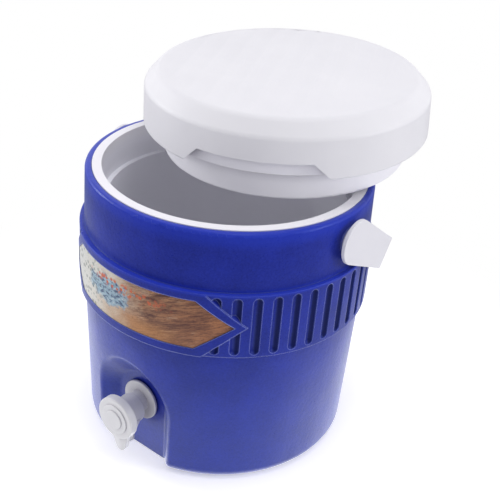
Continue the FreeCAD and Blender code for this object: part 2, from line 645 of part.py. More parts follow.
def make_knob(at):
    """Stepped front disc with a ridged tail that points down when the tap is shut."""
    disc = new_body("knob_disc")
    base = at["knob"]
    first = base + " + knob_thickness"
    second = first + " + knob_step"
    third = second + " + knob_step"
    revolve(disc, "knob_turned", [
        ("0", at["front"] + " - knob_drive_length + drive_gap"),
        ("knob_drive_radius", at["front"] + " - knob_drive_length + drive_gap"),
        ("knob_drive_radius", base), ("knob_radius", base), ("knob_radius", first),
        ("knob_step_radius", first), ("knob_step_radius", second),
        ("knob_face_radius", second), ("knob_face_radius", third), ("0", third)])
    round_rings(disc, "knob_rounding", "knob_edge_round", [("knob_radius", first)])
    round_rings(disc, "knob_step_rounding", "knob_step * 0.7",
                [("knob_step_radius", second), ("knob_face_radius", third)])
    disc.Placement = along_tap(drop="valve_drop")
    # the tail from the front: straight sides that lean in and touch a round tip
    centre = "(knob_tail_reach - knob_tail_tip)"
    lean = ("(acos(knob_tail_tip / sqrt(knob_tail_root^2 + %s^2)) - atan(%s / knob_tail_root))"
            % (centre, centre))
    touch_x = "(knob_tail_tip * cos(%s))" % lean
    touch_y = "-(%s + knob_tail_tip * sin(%s))" % (centre, lean)
    high = "knob_tail_thickness + knob_tail_ridge"
    sides = new_body("knob_tail_sides")
    pad(sides, "knob_tail_flat", "XZ_Plane",
        [("-knob_tail_root", "0"), ("knob_tail_root", "0"), (touch_x, touch_y),
         ("-" + touch_x, touch_y)], high)
    tip = cylinder("knob_tail_end", "knob_tail_tip", high,
                   Placement(Vector(0, 0, -num(centre)), Rotation(Vector(1, 0, 0), 90)))
    # the tail from below: two faces that meet in a ridge
    roof = new_body("knob_tail_roof")
    pad(roof, "knob_tail_prism", "XY_Plane",
        [("-knob_tail_root", "0"), ("knob_tail_root", "0"),
         ("knob_tail_root", "-knob_tail_thickness"), ("0", "-(%s)" % high),
         ("-knob_tail_root", "-knob_tail_thickness")], "2 * knob_tail_reach", both_ways=True)
    tail = common("knob_tail", fuse("knob_tail_outline", [sides, tip]), roof)
    tail.Placement = Placement(Vector(0, -num(base), num("tap_height - valve_drop")),
                               Rotation(Vector(0, 1, 0), -num("knob_turn")))
    return fuse("tap_knob", [disc, tail])


def make_washer(label, at_distance):
    washer = new_body(label)
    revolve(washer, label + "_turn", [
        ("tail_radius + tail_gap", at_distance), ("washer_radius", at_distance),
        ("washer_radius", at_distance + " + washer_thickness"),
        ("tail_radius + tail_gap", at_distance + " + washer_thickness")])
    washer.Placement = along_tap()
    return washer


def make_nut(at):
    blank = doc.addObject("Part::Prism", "nut_blank")
    blank.Polygon = 6
    bind(blank, "Circumradius", "nut_width / 2 / cos(30)")
    bind(blank, "Height", "nut_thickness")
    blank.Placement = along_tap(at["nut"])
    bore = cylinder("nut_bore", "tail_radius + drive_gap", "wall_radius", along_tap())
    return cut("tap_nut", blank, [bore])


def make_sleeve():
    low = "liner_pad_face + liner_pad_thickness"
    high = "alcove_flat - shell_wall"
    sleeve = new_body("wall_sleeve")
    inner = "tail_radius + tail_gap"
    revolve(sleeve, "sleeve_turn", [
        (inner, low), (inner + " + sleeve_wall", low), (inner + " + sleeve_wall", high),
        (inner, high)])
    sleeve.Placement = along_tap()
    return sleeve


# Bail and its pivots
def make_bush(side):
    bush = new_body("pivot_bush_" + side)
    bore = "pin_radius + pin_clearance"
    revolve(bush, "bush_turn_" + side, [
        (bore, flange_face + " - bush_depth"), ("bush_radius", flange_face + " - bush_depth"),
        ("bush_radius", flange_face), ("bush_flange_radius", flange_face),
        ("bush_flange_radius", flange_face + " + bush_flange_thickness"),
        (bore, flange_face + " + bush_flange_thickness")])
    bush.Placement = along_pivot(side)
    return bush


def make_clip(side):
    clip = new_body("pivot_clip_" + side)
    low = flange_face + " - bush_depth - clip_gap - clip_thickness"
    inner = "pin_radius - groove_depth + drive_gap"
    revolve(clip, "clip_turn_" + side, [
        (inner, low), ("clip_radius", low), ("clip_radius", low + " + clip_thickness"),
        (inner, low + " + clip_thickness")])
    clip.Placement = along_pivot(side)
    return clip


def make_pin(side):
    pin = new_body("bail_pin_" + side)
    groove = flange_face + " - bush_depth - clip_gap - clip_thickness - drive_gap"
    groove_end = groove + " + clip_thickness + 2 * drive_gap"
    tip = groove + " - pin_past_clip"
    revolve(pin, "pin_turn_" + side, [
        ("0", tip), ("pin_radius", tip), ("pin_radius", groove),
        ("pin_radius - groove_depth", groove), ("pin_radius - groove_depth", groove_end),
        ("pin_radius", groove_end), ("pin_radius", ear_inner + " + bail_thickness / 2"),
        ("0", ear_inner + " + bail_thickness / 2")])
    pin.Placement = along_pivot(side)
    return pin


def bail_outline(outside, reach, bend_round):
    """Half of the strap's outline seen along its width, from ear end to grip."""
    turn = math.radians(num("bail_bend_angle"))
    bend = num("bail_bend")
    normal = Vector(math.cos(turn), math.sin(turn), 0)
    along = Vector(-math.sin(turn), math.cos(turn), 0)
    corner_distance = normal.dot(Vector(outside, bend, 0))
    centre = (reach - corner_distance) / (1 - math.sin(turn))
    radius = reach - centre
    corner = Vector(outside, bend, 0)
    setback = bend_round * math.tan(turn / 2)
    start = corner - Vector(0, setback, 0)
    end = corner + along * setback
    half = turn / 2
    middle = start + Vector(-bend_round, 0, 0) + Vector(math.cos(half), math.sin(half), 0) * bend_round
    touch = Vector(0, centre, 0) + normal * radius
    arc_middle_angle = (turn + math.pi / 2) / 2
    arc_middle = Vector(0, centre, 0) + Vector(math.cos(arc_middle_angle),
                                               math.sin(arc_middle_angle), 0) * radius
    top = Vector(0, reach, 0)
    foot = Vector(outside, -num("ear_radius + bail_thickness"), 0)
    return [Part.LineSegment(foot, start).toShape(), Part.Arc(start, middle, end).toShape(),
            Part.LineSegment(end, touch).toShape(), Part.Arc(touch, arc_middle, top).toShape()]


def mirrored(edges):
    return [edge.mirror(Vector(0, 0, 0), Vector(1, 0, 0)) for edge in reversed(edges)]


def make_bail():
    thickness = num("bail_thickness")
    inner = num(ear_inner)
    outer = inner + thickness
    outside = bail_outline(outer, num("bail_reach"), num("bail_bend_round"))
    turn = math.radians(num("bail_bend_angle"))
    # the inner corner of the bend, so that the strap keeps its thickness
    bend_shift = thickness * math.tan(turn / 2)
    inside_edges = bail_outline_inner(inner, bend_shift)
    foot = -num("ear_radius + bail_thickness")
    outer_wire = outside + mirrored(outside)
    inner_wire = inside_edges + mirrored(inside_edges)
    ends = [Part.LineSegment(Vector(s * outer, foot, 0), Vector(s * inner, foot, 0)).toShape()
            for s in (1, -1)]
    wire = Part.Wire(Part.__sortEdges__(outer_wire + inner_wire + ends))
    width = 2 * num("ear_radius + bail_thickness")
    strap = Part.Face(wire)
    strap.translate(Vector(0, 0, -width / 2))
    strap = strap.extrude(Vector(0, 0, width))
    # side view: rounded ear, then tapering to the grip
    ear = num("ear_radius")
    half_bend = num("bail_end_width / 2")
    half_grip = num("bail_grip_width / 2")
    bend = num("bail_bend")
    reach = num("bail_reach + bail_thickness")
    lean = math.atan2(ear - half_bend, bend)
    touch = Vector(0, ear * math.sin(lean), ear * math.cos(lean))
    low_touch = Vector(0, touch.y, -touch.z)
    side = Part.Wire([
        Part.Arc(low_touch, Vector(0, -ear, 0), touch).toShape(),
        Part.LineSegment(touch, Vector(0, bend, half_bend)).toShape(),
        Part.LineSegment(Vector(0, bend, half_bend), Vector(0, reach, half_grip)).toShape(),
        Part.LineSegment(Vector(0, reach, half_grip), Vector(0, reach, -half_grip)).toShape(),
        Part.LineSegment(Vector(0, reach, -half_grip), Vector(0, bend, -half_bend)).toShape(),
        Part.LineSegment(Vector(0, bend, -half_bend), low_touch).toShape()])
    side_face = Part.Face(side)
    side_face.translate(Vector(-outer - thickness, 0, 0))
    side_solid = side_face.extrude(Vector(2 * (outer + thickness), 0, 0))
    bail = doc.addObject("Part::Feature", "bail_strap")
    bail.Shape = strap.common(side_solid)
    # it hangs at its angle, or where a shorter bail would come to the jug's back
    to_corner = "sqrt((bail_reach - bail_thickness)^2 + bail_grip_width^2 / 4)"
    corner_rise = "atan(bail_grip_width / 2 / (bail_reach - bail_thickness))"
    at_back = "acos((%s + bail_back_gap) / %s) - %s" % (outermost, to_corner, corner_rise)
    bail.Placement = Placement(Vector(0, 0, num("body_height - pivot_drop")),
                               Rotation(Vector(1, 0, 0), -min(num("bail_hang_angle"), num(at_back))))
    doc.recompute()
    return fuse("handle_bail", [bail, make_pin("right"), make_pin("left")])


def bail_outline_inner(inner, bend_shift):
    """The inner face of the strap, parallel to the outer one."""
    thickness = num("bail_thickness")
    turn = math.radians(num("bail_bend_angle"))
    bend = num("bail_bend") - bend_shift
    round_inside = max(0.5, num("bail_bend_round") - thickness)
    normal = Vector(math.cos(turn), math.sin(turn), 0)
    along = Vector(-math.sin(turn), math.cos(turn), 0)
    outer_corner = Vector(inner + thickness, num("bail_bend"), 0)
    centre = (num("bail_reach") - normal.dot(outer_corner)) / (1 - math.sin(turn))
    radius = num("bail_reach") - centre - thickness
    corner = Vector(inner, bend, 0)
    setback = round_inside * math.tan(turn / 2)
    start = corner - Vector(0, setback, 0)
    end = corner + along * setback
    half = turn / 2
    middle = start + Vector(-round_inside, 0, 0) + Vector(math.cos(half), math.sin(half), 0) * round_inside
    touch = Vector(0, centre, 0) + normal * radius
    arc_middle_angle = (turn + math.pi / 2) / 2
    arc_middle = Vector(0, centre, 0) + Vector(math.cos(arc_middle_angle),
                                               math.sin(arc_middle_angle), 0) * radius
    top = Vector(0, centre + radius, 0)
    foot = Vector(inner, -num("ear_radius + bail_thickness"), 0)
    return [Part.LineSegment(foot, start).toShape(), Part.Arc(start, middle, end).toShape(),
            Part.LineSegment(end, touch).toShape(), Part.Arc(touch, arc_middle, top).toShape()]


# Lid. Its bodies are measured from the middle of the plug's underside.
def lid_placement():
    """Where the lid lies ajar: its plug just clears the mouth ring at the nearest point."""
    slope_back = math.tan(math.radians(num("lid_tilt_back")))
    slope_side = math.tan(math.radians(num("lid_tilt_side")))
    centre = Vector(num("lid_side"), num("lid_back"), 0)
    away = centre.Length
    ring = num("ring_inner")
    plug = num("pan_radius")
    spread = math.acos((ring ** 2 + away ** 2 - plug ** 2) / (2 * ring * away))
    heading = math.atan2(centre.y, centre.x)
    lift = 0
    for turn in (-spread, spread):
        spot = Vector(ring * math.cos(heading + turn), ring * math.sin(heading + turn), 0) - centre
        lift = max(lift, -(spot.x * slope_side + spot.y * slope_back))
    height = num("body_height + lid_rest_gap") + lift
    up = Vector(-slope_side, -slope_back, 1)
    return Placement(Vector(centre.x, centre.y, height), Rotation(Vector(0, 0, 1), up))


def make_lid_cover():
    cover = new_body("cover_form")
    edge = "pan_depth"
    wall = "lid_skirt_wall"
    web_low = edge + " + lid_web_height"
    revolve(cover, "cover_turn", [
        ("0", edge + " + lid_top_height"), ("lid_top_radius", edge + " + lid_top_height"),
        ("lid_ridge_radius", edge + " + lid_ridge_height"), ("lid_radius", edge + " + seal_thickness"),
        ("lid_radius - band_round", edge), ("lid_radius - " + wall, edge),
        ("lid_ridge_radius - %s + seal_thickness / 3" % wall, web_low), ("lid_web_opening", web_low),
        ("lid_web_opening", web_low + " + " + wall),
        ("lid_ridge_radius - %s + seal_thickness / 3" % wall, web_low + " + " + wall),
        ("lid_ridge_radius - " + wall, edge + " + lid_ridge_height - " + wall + " / 2"),
        ("lid_top_radius - " + wall + " / 2", edge + " + lid_top_height - " + wall),
        ("0", edge + " + lid_top_height - " + wall)])
    round_rings(cover, "ridge_rounding", "lid_ridge_round",
                [("lid_ridge_radius", edge + " + lid_ridge_height")])
    round_rings(cover, "top_rounding", "lid_top_round",
                [("lid_top_radius", edge + " + lid_top_height")])
    notches = []
    for name, half_turn in (("front_notch", 0), ("back_notch", 180)):
        notch = new_body(name)
        low_half = "(lid_radius * sin(notch_low_angle))"
        high_half = "(lid_radius * sin(notch_high_angle))"
        pad(notch, name + "_prism", "XZ_Plane",
            [("-" + low_half, edge + " - seal_thickness"), (low_half, edge + " - seal_thickness"),
             (low_half, edge), (high_half, edge + " + notch_height"),
             ("-" + high_half, edge + " + notch_height"), ("-" + low_half, edge)],
            "lid_radius + lid_skirt_wall")
        notch.Placement = Placement(Vector(0, 0, 0), Rotation(Vector(0, 0, 1),
                                                              num("notch_angle") + half_turn))
        inside = cylinder(name + "_inside", "pan_flange_radius", "lid_top_height + pan_depth",
                          Placement(Vector(0, 0, -1), Rotation()))
        notches.append(cut(name + "_tool", notch, [inside]))
    return cut("lid_cover", cover, notches)


def make_lid_pan():
    pan = new_body("lid_pan")
    flange = "pan_depth + pan_flange_height"
    top = "pan_depth + lid_web_height"
    revolve(pan, "pan_turn", [
        ("0", "0"), ("pan_radius", "0"), ("pan_radius", flange), ("pan_flange_radius", flange),
        ("pan_flange_radius", top), ("pan_flange_radius - pan_wall", top),
        ("pan_flange_radius - pan_wall", flange + " + pan_wall"),
        ("pan_radius - pan_wall", flange + " + pan_wall"), ("pan_radius - pan_wall", "pan_wall"),
        ("0", "pan_wall")])
    round_rings(pan, "pan_rounding", "pan_round", [("pan_radius", "0")])
    return pan


def make_lid_foam():
    foam = new_body("lid_foam")
    gap = "foam_gap"
    wall = "lid_skirt_wall"
    flange = "pan_depth + pan_flange_height + pan_wall + " + gap
    web_low = "pan_depth + lid_web_height"
    inner_skirt = "lid_ridge_radius - %s - %s" % (wall, gap)
    revolve(foam, "lid_foam_turn", [
        ("0", "pan_wall + " + gap), ("pan_radius - pan_wall - " + gap, "pan_wall + " + gap),
        ("pan_radius - pan_wall - " + gap, flange),
        ("pan_flange_radius - pan_wall - " + gap, flange),
        ("pan_flange_radius - pan_wall - " + gap, web_low + " - " + gap),
        ("lid_web_opening - " + gap, web_low + " - " + gap),
        ("lid_web_opening - " + gap, web_low + " + %s + %s" % (wall, gap)),
        (inner_skirt, web_low + " + %s + %s" % (wall, gap)),
        (inner_skirt, "pan_depth + lid_ridge_height - %s / 2 - 2 * %s" % (wall, gap)),
        ("lid_top_radius - %s / 2 - 2 * %s" % (wall, gap),
         "pan_depth + lid_top_height - %s - %s" % (wall, gap)),
        ("0", "pan_depth + lid_top_height - %s - %s" % (wall, gap))])
    return foam


def make_lid_seal():
    seal = new_body("lid_seal")
    top = "pan_depth + pan_flange_height"
    revolve(seal, "seal_turn", [
        ("seal_inner", top + " - seal_thickness"), ("seal_outer", top + " - seal_thickness"),
        ("seal_outer", top), ("seal_inner", top)])
    return seal


stations = tap_stations()
tap_body, spout_middle = make_tap_body(stations)
nodes = {
    "outer_shell": make_outer_shell(),
    "label_sheet": make_label(),
    "inner_liner": make_inner_liner(),
    "body_foam": make_body_foam(),
    "foam_fill_plug": make_filling_plug(),
    "tap_body": tap_body,
    "tap_valve_plug": make_valve_plug(stations, spout_middle),
    "tap_o_ring": make_o_ring(stations),
    "tap_knob": make_knob(stations),
    "tap_outer_gasket": make_washer("tap_outer_gasket", "alcove_flat"),
    "tap_inner_gasket": make_washer("tap_inner_gasket", stations["inner_washer"]),
    "tap_nut": make_nut(stations),
    "wall_sleeve": make_sleeve(),
    "handle_bail": make_bail(),
}
for side in ("right", "left"):
    nodes["pivot_bush_" + side] = make_bush(side)
    nodes["pivot_clip_" + side] = make_clip(side)

lid_pieces = {
    "lid_cover": make_lid_cover(),
    "lid_pan": make_lid_pan(),
    "lid_foam": make_lid_foam(),
    "lid_seal": make_lid_seal(),
}
for label, piece in lid_pieces.items():
    piece.Placement = lid_placement()
    nodes[label] = piece
doc.recompute()

for thing in doc.Objects:
    if "Invalid" in thing.State or "Error" in thing.State:
        raise RuntimeError("%s did not build: %s" % (thing.Name, thing.State))

os.makedirs("parts", exist_ok=True)
for label, piece in nodes.items():
    piece.Label = label
    shape = piece.Shape
    if shape.isNull() or not shape.isValid() or shape.Volume <= 0:
        raise RuntimeError("%s has no valid shape" % label)
    shape.exportStep("parts/%s.step" % label)
    print("%-18s solids %d volume %.1f cm3" % (label, len(shape.Solids), shape.Volume / 1000))
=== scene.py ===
import bpy
import json
from math import cos, radians, sin, sqrt
from mathutils import Matrix, Vector

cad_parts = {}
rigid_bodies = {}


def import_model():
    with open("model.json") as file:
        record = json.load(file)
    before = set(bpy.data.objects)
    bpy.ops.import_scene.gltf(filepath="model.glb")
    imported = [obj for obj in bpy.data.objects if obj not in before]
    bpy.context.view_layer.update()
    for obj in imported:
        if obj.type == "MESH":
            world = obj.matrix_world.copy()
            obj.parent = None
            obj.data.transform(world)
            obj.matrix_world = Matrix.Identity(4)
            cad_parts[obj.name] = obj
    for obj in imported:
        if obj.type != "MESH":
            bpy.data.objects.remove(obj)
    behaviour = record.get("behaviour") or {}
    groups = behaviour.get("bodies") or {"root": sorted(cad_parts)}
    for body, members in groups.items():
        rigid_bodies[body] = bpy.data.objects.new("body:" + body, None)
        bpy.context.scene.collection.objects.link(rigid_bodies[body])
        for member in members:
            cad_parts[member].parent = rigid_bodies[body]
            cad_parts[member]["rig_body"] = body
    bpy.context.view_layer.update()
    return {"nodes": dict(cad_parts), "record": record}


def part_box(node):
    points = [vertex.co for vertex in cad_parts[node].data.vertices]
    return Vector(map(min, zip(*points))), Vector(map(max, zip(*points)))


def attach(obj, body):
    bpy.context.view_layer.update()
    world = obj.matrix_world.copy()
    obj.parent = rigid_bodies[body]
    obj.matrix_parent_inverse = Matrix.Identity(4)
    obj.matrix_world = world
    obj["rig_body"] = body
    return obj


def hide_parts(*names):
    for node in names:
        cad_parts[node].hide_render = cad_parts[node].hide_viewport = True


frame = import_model()


# camera: stands to the right of the tap, above the rim, and looks down
cameraSetup = {
    "place": (0.4382, -0.5650, 0.5785),
    "turn": 36.0,
    "pitch": 29.88,
    "roll": 4.81,
    "lens": 64.58,
    "sensor": 36,
}


def addCamera(setup):
    turn = radians(setup["turn"])
    pitch = radians(setup["pitch"])
    roll = radians(setup["roll"])
    forward = Vector((-sin(turn) * cos(pitch), cos(turn) * cos(pitch), -sin(pitch)))
    right = Vector((cos(turn), sin(turn), 0))
    up = right.cross(forward)
    rolledRight = right * cos(roll) + up * sin(roll)
    rolledUp = up * cos(roll) - right * sin(roll)
    data = bpy.data.cameras.new("camera")
    data.lens = setup["lens"]
    data.sensor_width = setup["sensor"]
    camera = bpy.data.objects.new("camera", data)
    bpy.context.scene.collection.objects.link(camera)
    turned = Matrix((rolledRight, rolledUp, -forward)).transposed()
    camera.matrix_world = Matrix.Translation(setup["place"]) @ turned.to_4x4()
    bpy.context.scene.camera = camera


addCamera(cameraSetup)
print("camera placed")


# short ways to add shader nodes
def addNode(tree, kind, **values):
    node = tree.nodes.new(kind)
    for name, value in values.items():
        setattr(node, name, value)
    return node


# a socket takes a colour, a number or another node's output
def feed(tree, socket, value):
    if isinstance(value, tuple):
        socket.default_value = (*value, 1)
    elif isinstance(value, (int, float)):
        socket.default_value = value
    else:
        tree.links.new(value, socket)


def startMaterial(name):
    material = bpy.data.materials.new(name)
    material.use_nodes = True
    tree = material.node_tree
    shader = tree.nodes["Principled BSDF"]
    spots = addNode(tree, "ShaderNodeTexCoord")
    mapping = addNode(tree, "ShaderNodeMapping")
    tree.links.new(spots.outputs["Object"], mapping.inputs["Vector"])
    return material, tree, shader, mapping.outputs["Vector"]


def noise(tree, vector, scale, detail=2.0, roughness=0.5):
    node = addNode(tree, "ShaderNodeTexNoise")
    node.inputs["Scale"].default_value = scale
    node.inputs["Detail"].default_value = detail
    node.inputs["Roughness"].default_value = roughness
    tree.links.new(vector, node.inputs["Vector"])
    return node.outputs["Fac"]


def ramp(tree, factor, stops):
    node = addNode(tree, "ShaderNodeValToRGB")
    band = node.color_ramp
    while len(band.elements) < len(stops):
        band.elements.new(0.5)
    for element, (place, colour) in zip(band.elements, stops):
        element.position = place
        element.color = (*colour, 1)
    tree.links.new(factor, node.inputs["Fac"])
    return node.outputs["Color"]


def twoTone(tree, factor, low, high, lowAt=0.3, highAt=0.7):
    return ramp(tree, factor, ((lowAt, low), (highAt, high)))


# low where the value is fromLow, high where it is fromHigh
def spread(tree, value, low, high, fromLow=0.3, fromHigh=0.7, smooth=False):
    node = addNode(tree, "ShaderNodeMapRange")
    if smooth:
        node.interpolation_type = "SMOOTHSTEP"
    node.inputs["From Min"].default_value = fromLow
    node.inputs["From Max"].default_value = fromHigh
    node.inputs["To Min"].default_value = low
    node.inputs["To Max"].default_value = high
    tree.links.new(value, node.inputs["Value"])
    return node.outputs["Result"]


def maths(tree, operation, first, second=None, clamp=False):
    node = addNode(tree, "ShaderNodeMath", operation=operation, use_clamp=clamp)
    feed(tree, node.inputs[0], first)
    if second is not None:
        feed(tree, node.inputs[1], second)
    return node.outputs["Value"]


def times(tree, first, second, clamp=False):
    return maths(tree, "MULTIPLY", first, second, clamp)


def plus(tree, first, second, clamp=False):
    return maths(tree, "ADD", first, second, clamp)


def minus(tree, first, second):
    return maths(tree, "SUBTRACT", first, second)


# how far a value that runs from 0 to 1 is from its middle
def swing(tree, value):
    return minus(tree, value, 0.5)


# 1 at the middle, down to 0 at half away on both sides
def hump(tree, value, middle, half):
    off = maths(tree, "ABSOLUTE", minus(tree, value, middle))
    return spread(tree, off, 1, 0, 0, half, True)


def dot(tree, first, second):
    node = addNode(tree, "ShaderNodeVectorMath", operation="DOT_PRODUCT")
    tree.links.new(first, node.inputs[0])
    if isinstance(second, tuple):
        node.inputs[1].default_value = second
    else:
        tree.links.new(second, node.inputs[1])
    return node.outputs["Value"]


def splitVector(tree, vector):
    node = addNode(tree, "ShaderNodeSeparateXYZ")
    tree.links.new(vector, node.inputs[0])
    return node.outputs


def joinVector(tree, *values):
    node = addNode(tree, "ShaderNodeCombineXYZ")
    for socket, value in zip(node.inputs, values):
        feed(tree, socket, value)
    return node.outputs[0]


def blendColours(tree, factor, first, second):
    node = addNode(tree, "ShaderNodeMix", data_type="RGBA")
    feed(tree, node.inputs[0], factor)
    feed(tree, node.inputs[6], first)
    feed(tree, node.inputs[7], second)
    return node.outputs[2]


def darken(tree, colour, shade):
    node = addNode(tree, "ShaderNodeMix", data_type="RGBA", blend_type="MULTIPLY")
    node.inputs[0].default_value = 1.0
    tree.links.new(colour, node.inputs[6])
    tree.links.new(shade, node.inputs[7])
    return node.outputs[2]


def bump(tree, shader, layers, before=None):
    for height, strength, distance in layers:
        node = addNode(tree, "ShaderNodeBump")
        node.inputs["Strength"].default_value = strength
        node.inputs["Distance"].default_value = distance
        tree.links.new(height, node.inputs["Height"])
        if before:
            tree.links.new(before, node.inputs["Normal"])
        before = node.outputs["Normal"]
    tree.links.new(before, shader.inputs["Normal"])


cornerSetup = {
    "samples": 6,
    "edgeFrom": 0.82,            # how far a rounded edge turns before it gets the painted highlight
    "edgeTo": 0.985,
    "darkFrom": 0.50,            # how closed in an inner corner is before it gets painted shade
    "darkTo": 0.92,
}


def roundedNormal(tree, radius):
    node = addNode(tree, "ShaderNodeBevel", samples=cornerSetup["samples"])
    node.inputs["Radius"].default_value = radius
    return node.outputs["Normal"]


def surfaceNormal(tree):
    return addNode(tree, "ShaderNodeNewGeometry").outputs["Normal"]


# where a rounded edge turns away from the flat, used for the painted edge highlight
def edgeMask(tree, rounded):
    turned = dot(tree, rounded, surfaceNormal(tree))
    return spread(tree, turned, 1, 0, cornerSetup["edgeFrom"], cornerSetup["edgeTo"])


# painted shade: darker where an inner corner is closed in
def paintedCornerShade(tree, reach):
    near = addNode(tree, "ShaderNodeAmbientOcclusion")
    near.samples = cornerSetup["samples"]
    near.inputs["Distance"].default_value = reach
    return spread(tree, near.outputs["AO"], 1, 0, cornerSetup["darkFrom"], cornerSetup["darkTo"])


stageSetup = {
    "floorSize": 8.0,
    "floorColour": (0.90, 0.90, 0.91),
    "farColour": (0.10, 0.10, 0.105),    # what reflections see of the floor far away
    "paleTo": 0.27,
    "greyFrom": 0.60,
    "lift": 0.40,                # light that the eye adds to the floor
    "glossLift": 2.2,            # light that the near floor adds to reflections
    "glossFrom": 0.15,
    "glossTo": 0.34,
    "sideGloss": 0.55,           # how much of that lift the sides and the back keep
    "sideFrom": 0.02,            # metres along the open side
    "sideTo": 0.12,
    "fadeFrom": 0.22,            # metres from the jug's axis where the floor goes white
    "fadeTo": 0.42,
    "openSide": (0.60, -0.80, 0.0),
    "worldColour": (0.955, 0.945, 1.0),
    "worldLight": 0.94,
    "frontLight": 0.48,          # the studio is dimmer on the open side
    "frontFrom": -0.1,
    "frontTo": 0.9,
}


def seenBy(tree, *rays):
    path = addNode(tree, "ShaderNodeLightPath")
    seen = path.outputs[rays[0]]
    for ray in rays[1:]:
        seen = maths(tree, "MAXIMUM", seen, path.outputs[ray])
    return seen


def addFloor(setup):
    bpy.ops.object.select_all(action="DESELECT")
    bpy.ops.mesh.primitive_plane_add(size=setup["floorSize"], location=(0, 0, 0))
    floor = bpy.context.object
    floor.name = "floor"
    material = bpy.data.materials.new("paleFloor")
    material.use_nodes = True
    tree = material.node_tree
    tree.nodes.remove(tree.nodes["Principled BSDF"])
    spots = addNode(tree, "ShaderNodeTexCoord").outputs["Object"]
    length = addNode(tree, "ShaderNodeVectorMath", operation="LENGTH")
    tree.links.new(spots, length.inputs[0])
    away = length.outputs["Value"]
    seen = seenBy(tree, "Is Camera Ray")
    glossy = seenBy(tree, "Is Glossy Ray")
    # matt ground, dark far away to reflections only
    outer = spread(tree, away, 0, 1, setup["paleTo"], setup["greyFrom"], True)
    ground = blendColours(tree, times(tree, glossy, outer),
                          setup["floorColour"], setup["farColour"])
    matt = addNode(tree, "ShaderNodeBsdfDiffuse")
    tree.links.new(ground, matt.inputs["Color"])
    # what is added to it for the eye, and near the jug for reflections
    close = spread(tree, away, 1, 0, setup["glossFrom"], setup["glossTo"], True)
    forward = dot(tree, spots, setup["openSide"])
    ahead = spread(tree, forward, setup["sideGloss"], 1, setup["sideFrom"], setup["sideTo"], True)
    nearGloss = times(tree, glossy, times(tree, close, ahead))
    lift = addNode(tree, "ShaderNodeEmission")
    tree.links.new(plus(tree, times(tree, seen, setup["lift"]),
                        times(tree, nearGloss, setup["glossLift"])), lift.inputs["Strength"])
    near = addNode(tree, "ShaderNodeAddShader")
    tree.links.new(matt.outputs[0], near.inputs[0])
    tree.links.new(lift.outputs[0], near.inputs[1])
    # white further out
    far = spread(tree, away, 0, 1, setup["fadeFrom"], setup["fadeTo"], True)
    white = addNode(tree, "ShaderNodeEmission")
    mix = addNode(tree, "ShaderNodeMixShader")
    tree.links.new(times(tree, seen, far), mix.inputs[0])
    tree.links.new(near.outputs[0], mix.inputs[1])
    tree.links.new(white.outputs[0], mix.inputs[2])
    tree.links.new(mix.outputs[0], tree.nodes["Material Output"].inputs["Surface"])
    floor.data.materials.append(material)


def setWorld(setup):
    world = bpy.data.worlds.new("studio")
    world.use_nodes = True
    bpy.context.scene.world = world
    tree = world.node_tree
    light = tree.nodes["Background"]
    seen = seenBy(tree, "Is Camera Ray", "Is Glossy Ray", "Is Transmission Ray")
    spots = addNode(tree, "ShaderNodeTexCoord").outputs["Generated"]
    around = spread(tree, dot(tree, spots, setup["openSide"]),
                    setup["worldLight"], setup["frontLight"],
                    setup["frontFrom"], setup["frontTo"])
    tree.links.new(maths(tree, "MAXIMUM", around, seen), light.inputs["Strength"])
    colour = blendColours(tree, seen, setup["worldColour"], (1, 1, 1))
    tree.links.new(colour, light.inputs["Color"])


lampSetup = {
    "overhead": {"place": (0.20, -0.10, 1.15), "aim": (0, 0.02, 0.2),
                 "size": 0.26, "power": 1.5},
    "leftSide": {"place": (-0.95, -0.40, 0.55), "aim": (0, 0, 0.15),
                 "size": 0.30, "power": 3.5},
    "rightSide": {"place": (0.95, 0.30, 0.55), "aim": (0, 0, 0.15),
                  "size": 0.30, "power": 2.3},
}


def addLamp(name, setup):
    data = bpy.data.lights.new(name, "AREA")
    data.shape = "SQUARE"
    data.size = setup["size"]
    data.energy = setup["power"]
    lamp = bpy.data.objects.new(name, data)
    bpy.context.scene.collection.objects.link(lamp)
    lamp.location = setup["place"]
    aim = Vector(setup["aim"]) - lamp.location
    lamp.rotation_euler = aim.to_track_quat("-Z", "Y").to_euler()


bpy.context.scene.view_settings.view_transform = "Standard"
addFloor(stageSetup)
setWorld(stageSetup)
for lampName, lampValues in lampSetup.items():
    addLamp(lampName, lampValues)
print("floor, world and lamps set")


